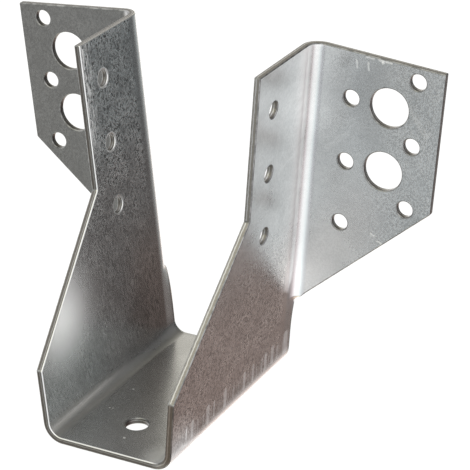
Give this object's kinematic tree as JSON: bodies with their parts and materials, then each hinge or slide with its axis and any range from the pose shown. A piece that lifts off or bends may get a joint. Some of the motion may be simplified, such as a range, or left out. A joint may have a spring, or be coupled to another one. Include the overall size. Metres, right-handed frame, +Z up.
{
  "type": "joist hanger",
  "caption": "Folded sheet-steel joist hanger: a U-shaped seat with sloping walls and an outward flange on each side, punched for nails and bolts.",
  "frame": {"origin": "underside of the seat, in the middle of the hanger's width and depth", "axes": "+Z up the walls, +Y towards the header beam, +X across the joist towards the right flange"},
  "size_m": [0.142, 0.075, 0.1073],
  "materials": {
    "galvanised_steel": "satin, zinc-coated, with a fine mottled grain and handling scuffs"
  },
  "bodies": {
    "root": {"hanger": "galvanised_steel"}
  },
  "joints": []
}
